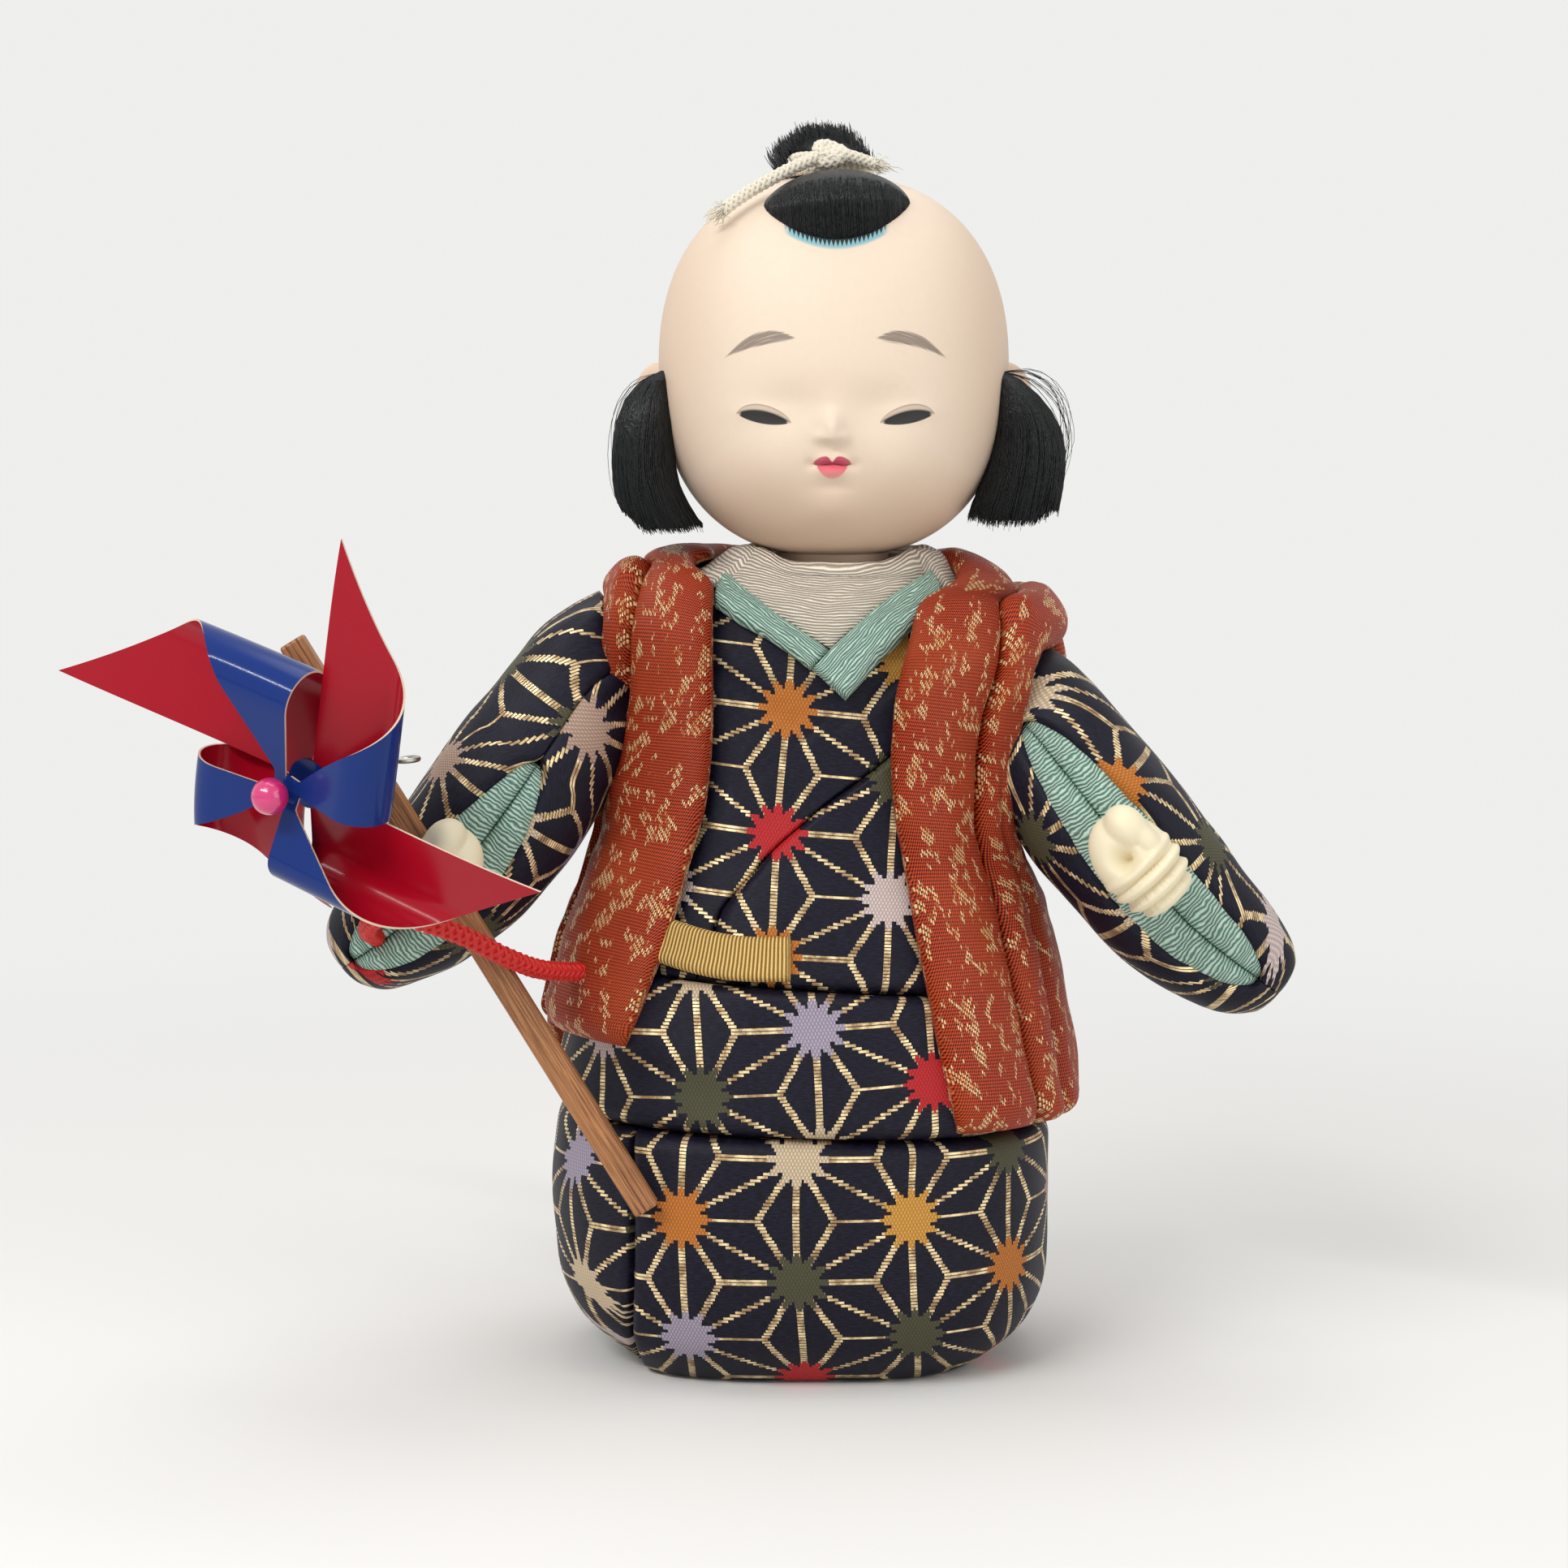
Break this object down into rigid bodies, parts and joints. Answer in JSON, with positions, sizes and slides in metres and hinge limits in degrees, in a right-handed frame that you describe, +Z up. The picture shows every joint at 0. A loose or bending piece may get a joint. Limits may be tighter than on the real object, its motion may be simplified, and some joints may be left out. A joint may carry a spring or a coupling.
{
  "type": "costume doll",
  "caption": "Standing padded cloth figure on a flat base, with a large white head on a peg, sleeved arms with closed fists, and a pinwheel on a stick held in one fist.",
  "frame": {"origin": "middle of the flat underside of the base", "axes": "+Z up, -Y to the front of the doll, +X to its own left side"},
  "size_m": [0.1682, 0.0916, 0.1782],
  "materials": {
    "composite": "pressed wood paste, matt",
    "wood": "plain, unfinished",
    "shell_white": "matt shell white over a moulded body",
    "hair": "black silk hair, combed",
    "cream_cord": "braided",
    "cream_crepe": "ribbed crepe",
    "mint_crepe": "ribbed crepe",
    "navy_brocade": "woven satin with metallic and coloured thread",
    "gold_ribbon": "ribbed ribbon",
    "rust_brocade": "woven twill with metallic flecks",
    "red_cord": "braided",
    "steel_wire": "drawn wire",
    "bamboo": "split bamboo",
    "gloss_card": "gloss card, red on the front face and blue on the back face",
    "pearl": "pearl"
  },
  "bodies": {
    "figure": {"body_core": "composite", "base_plate": "wood", "under_collar": "cream_crepe", "collar_band_left": "mint_crepe", "collar_band_right": "mint_crepe", "kimono_front_left": "navy_brocade", "kimono_front_right": "navy_brocade", "kimono_back": "navy_brocade", "waist_fold": "navy_brocade", "skirt_front": "navy_brocade", "skirt_back": "navy_brocade", "obi": "gold_ribbon", "vest_back": "rust_brocade", "vest_front_left": "rust_brocade", "vest_front_right": "rust_brocade", "vest_collar": "rust_brocade", "vest_cord": "red_cord", "sleeve_left": "navy_brocade", "sleeve_right": "navy_brocade", "sleeve_lining_upper_left": "mint_crepe", "sleeve_lining_lower_left": "mint_crepe", "sleeve_lining_upper_right": "mint_crepe", "sleeve_lining_lower_right": "mint_crepe", "hand_left": "shell_white", "hand_right": "shell_white", "arm_wire_left": "steel_wire", "arm_wire_right": "steel_wire"},
    "head": {"head": "shell_white", "head_peg": "wood", "front_lock": "hair", "topknot": "hair", "side_lock_left": "hair", "side_lock_right": "hair", "topknot_cord": "cream_cord"},
    "stick": {"stick": "bamboo", "pinwheel_pin": "steel_wire", "pinwheel_bead": "pearl"},
    "wheel": {"pinwheel": "gloss_card"}
  },
  "joints": [
    {"name": "head_turn", "type": "hinge", "parent": "figure", "child": "head", "pos_m": [0.00405, 0, 0.114], "axis": [0, 0, 1], "range_deg": [-30, 30]},
    {"name": "stick_draw", "type": "slide", "parent": "figure", "child": "stick", "axis": [-0.5197, -0.0097, 0.8543], "range_m": [0, 0.04]},
    {"name": "wheel_spin", "type": "hinge", "parent": "stick", "child": "wheel", "pos_m": [-0.06656, -0.03966, 0.08726], "axis": [-0.5607, -0.8161, -0.1402], "continuous": true}
  ]
}
